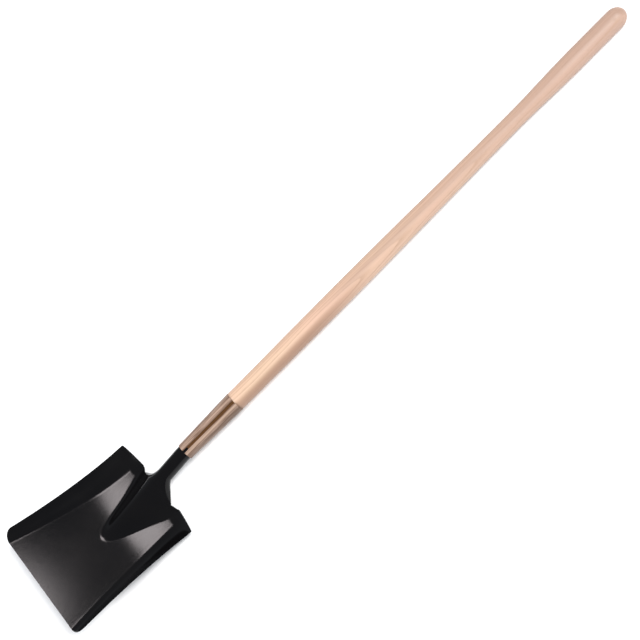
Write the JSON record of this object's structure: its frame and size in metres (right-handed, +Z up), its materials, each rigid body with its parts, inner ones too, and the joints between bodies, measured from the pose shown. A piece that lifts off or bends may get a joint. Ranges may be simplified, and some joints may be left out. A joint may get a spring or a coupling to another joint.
{
  "type": "square-mouth shovel",
  "caption": "Long-handled square-mouth shovel: pressed steel blade with a raised frog and rolled socket, bronze-coloured ferrule and straight ash handle.",
  "frame": {"origin": "middle of the bounding box on the ground: the shovel lies on its back, with the heel of the blade and the grip end on Z = 0", "axes": "+X along the handle towards the grip end, +Y across the blade, +Z up, out of the hollow digging face"},
  "size_m": [1.4994, 0.2692, 0.0716],
  "materials": {
    "enamel": "semi-gloss black enamel on pressed steel",
    "bronze": "bronze-coloured lacquer on thin rolled steel, satin, with lengthwise streaks",
    "ash": "turned and sanded ash, clear finish, fine lengthwise grain",
    "zinc": "zinc-plated nail heads, dull"
  },
  "bodies": {
    "root": {"blade": "enamel", "ferrule": "bronze", "handle": "ash", "nails": "zinc"}
  },
  "joints": []
}
